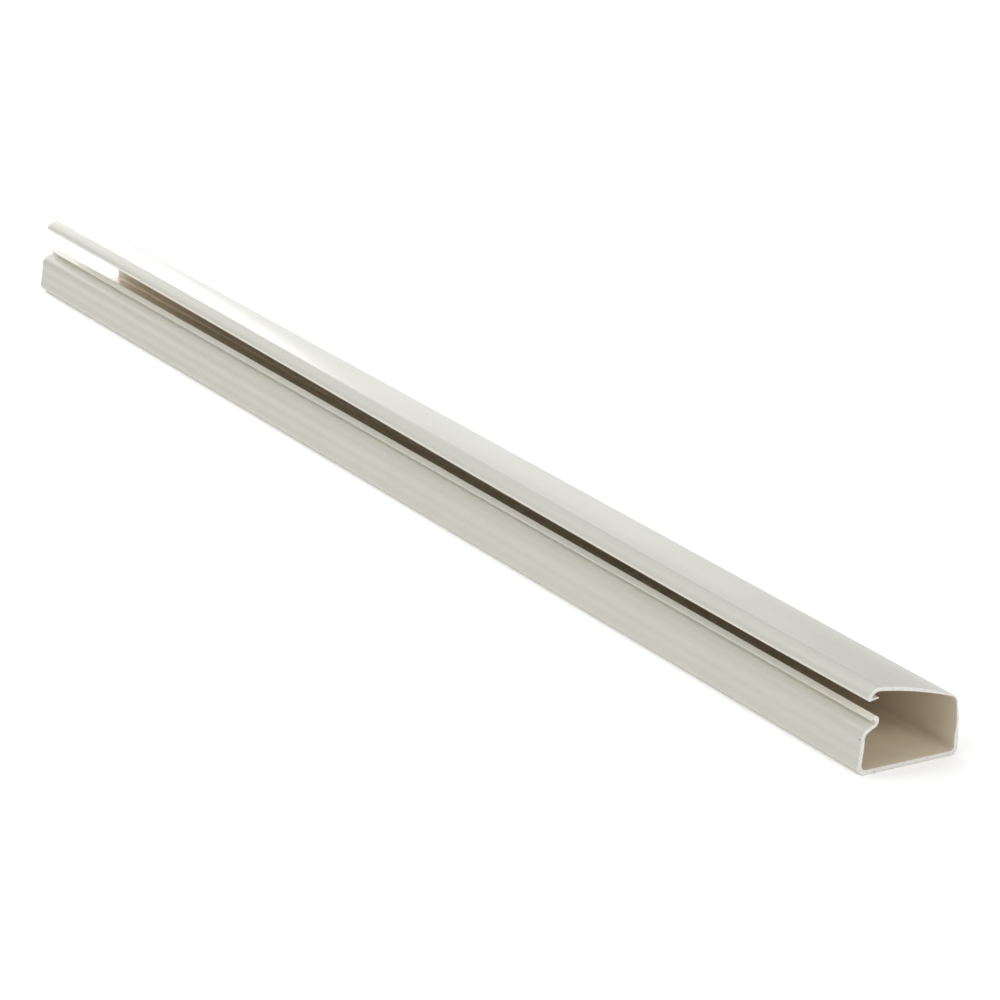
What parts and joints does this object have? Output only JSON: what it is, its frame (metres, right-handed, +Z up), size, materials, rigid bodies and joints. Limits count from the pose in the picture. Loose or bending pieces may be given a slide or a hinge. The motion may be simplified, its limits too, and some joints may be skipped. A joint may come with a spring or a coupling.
{
  "type": "cable trunking",
  "caption": "Length of self-adhesive plastic cable trunking, a slit channel whose hinged cover is part of the same extrusion and stands unlatched above its catch lip.",
  "frame": {"origin": "centre of the stuck face, the underside of the adhesive tape, at mid-length", "axes": "+X along the trunking, -Y out of the latch side, +Z up from the stuck face to the cover"},
  "size_m": [0.61, 0.0384, 0.0307],
  "materials": {
    "trunking_profile": "satin ivory rigid PVC",
    "adhesive_tape": "matt off-white foam tape"
  },
  "bodies": {
    "root": {"trunking_profile": "trunking_profile", "adhesive_tape": "adhesive_tape"}
  },
  "joints": []
}
